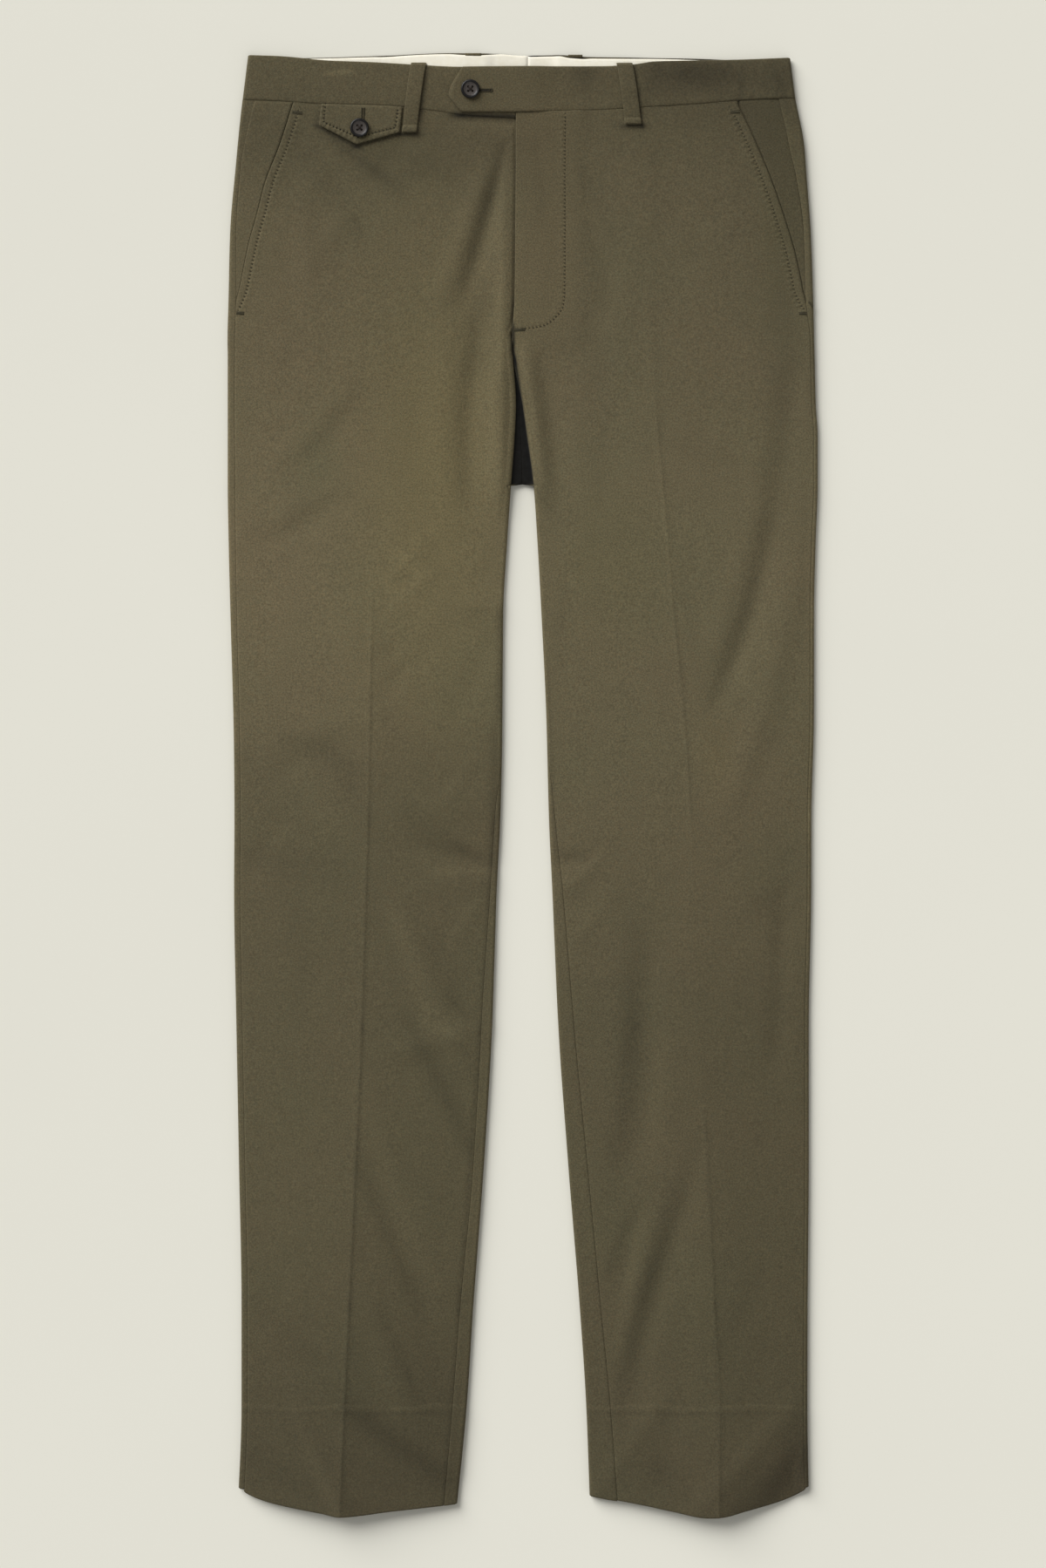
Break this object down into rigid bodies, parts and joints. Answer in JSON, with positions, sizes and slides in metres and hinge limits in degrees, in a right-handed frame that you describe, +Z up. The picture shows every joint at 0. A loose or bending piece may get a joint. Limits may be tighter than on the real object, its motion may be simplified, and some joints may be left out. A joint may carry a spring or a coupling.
{
  "type": "dress trousers",
  "caption": "Olive brown dress trousers with slim straight legs, laid flat on their back with the front upwards.",
  "frame": {"origin": "on the surface that the trousers lie on, below the middle of their outline", "axes": "+X towards the wearer's left leg, +Y from the hems to the waist, +Z up out of the front"},
  "size_m": [0.4744, 1.1779, 0.0135],
  "materials": {
    "olive_cloth": "matt wool cloth",
    "cream_lining": "smooth cotton",
    "button": "dark brown, polished",
    "zip_brass": "satin"
  },
  "bodies": {
    "root": {"front_right": "olive_cloth", "front_left": "olive_cloth", "back_right": "olive_cloth", "back_left": "olive_cloth", "pocket_facing_right": "olive_cloth", "pocket_facing_left": "olive_cloth", "waistband_right": "olive_cloth", "waistband_left": "olive_cloth", "waistband_lining_right": "cream_lining", "waistband_lining_left": "cream_lining", "ticket_flap": "olive_cloth", "button_flap": "button", "button_waist": "button", "belt_loop_front_right": "olive_cloth", "belt_loop_front_left": "olive_cloth", "belt_loop_back_right": "olive_cloth", "belt_loop_back_left": "olive_cloth", "fly_underlap": "olive_cloth", "fly_zip": "zip_brass"}
  },
  "joints": []
}
